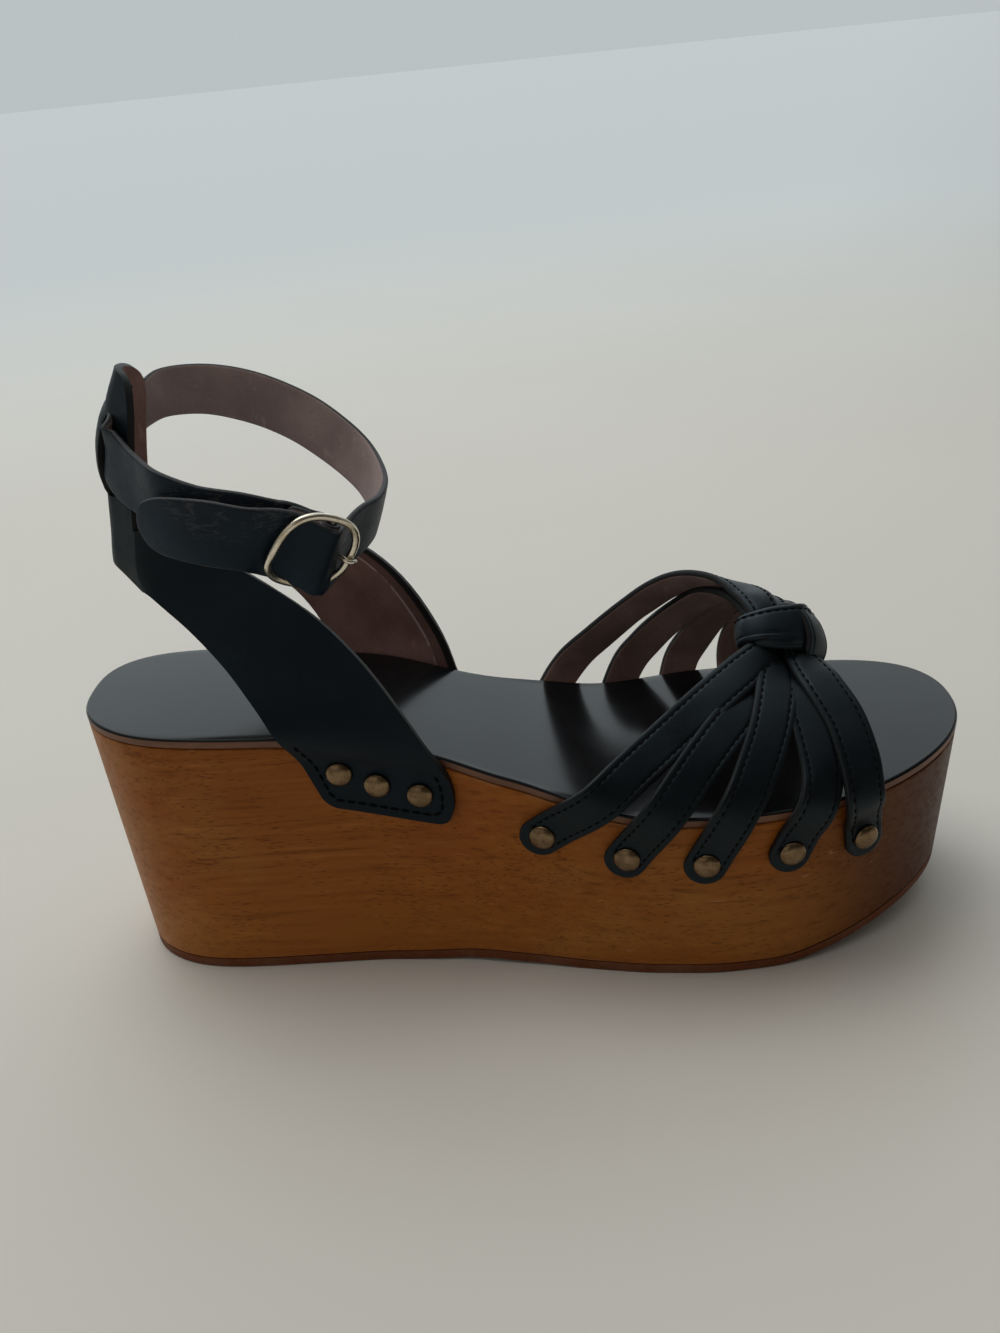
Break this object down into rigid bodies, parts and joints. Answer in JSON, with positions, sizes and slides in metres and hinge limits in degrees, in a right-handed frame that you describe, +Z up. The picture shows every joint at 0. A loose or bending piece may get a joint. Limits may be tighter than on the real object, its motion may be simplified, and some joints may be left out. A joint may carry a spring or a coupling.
{
  "type": "platform wedge sandal",
  "caption": "Open-toed wooden platform wedge sandal with gathered leather front straps, a knotted band, a heel sling with a slotted tab and a buckled ankle strap.",
  "frame": {"origin": "middle of the bounding box on the ground, under the sole", "axes": "+X from heel to toe, +Y to the inner (big toe) side of this right-foot sandal, +Z up"},
  "size_m": [0.2496, 0.0969, 0.1727],
  "materials": {
    "tread_rubber": "matt reddish-brown rubber",
    "stained_wood": "orange-brown stain under a satin varnish",
    "insole_leather": "black, glossy, with a brown edge",
    "upper_leather": "black, smooth, semi-gloss, lined in brown",
    "strap_leather": "black, smooth, lined in greyish brown",
    "buckle_metal": "pale gold plating, polished",
    "nail_metal": "antique brass, dulled"
  },
  "bodies": {
    "root": {"outsole": "tread_rubber", "wood_platform": "stained_wood", "insole": "insole_leather", "vamp": "upper_leather", "knot": "upper_leather", "quarter": "upper_leather", "ankle_strap": "strap_leather", "buckle_frame": "buckle_metal", "buckle_prong": "buckle_metal", "rivet_vamp_outer_1": "nail_metal", "rivet_vamp_outer_2": "nail_metal", "rivet_vamp_outer_3": "nail_metal", "rivet_vamp_outer_4": "nail_metal", "rivet_vamp_outer_5": "nail_metal", "rivet_vamp_inner_1": "nail_metal", "rivet_vamp_inner_2": "nail_metal", "rivet_vamp_inner_3": "nail_metal", "rivet_vamp_inner_4": "nail_metal", "rivet_vamp_inner_5": "nail_metal", "rivet_sling_outer_1": "nail_metal", "rivet_sling_outer_2": "nail_metal", "rivet_sling_outer_3": "nail_metal", "rivet_sling_inner_1": "nail_metal", "rivet_sling_inner_2": "nail_metal", "rivet_sling_inner_3": "nail_metal"}
  },
  "joints": []
}
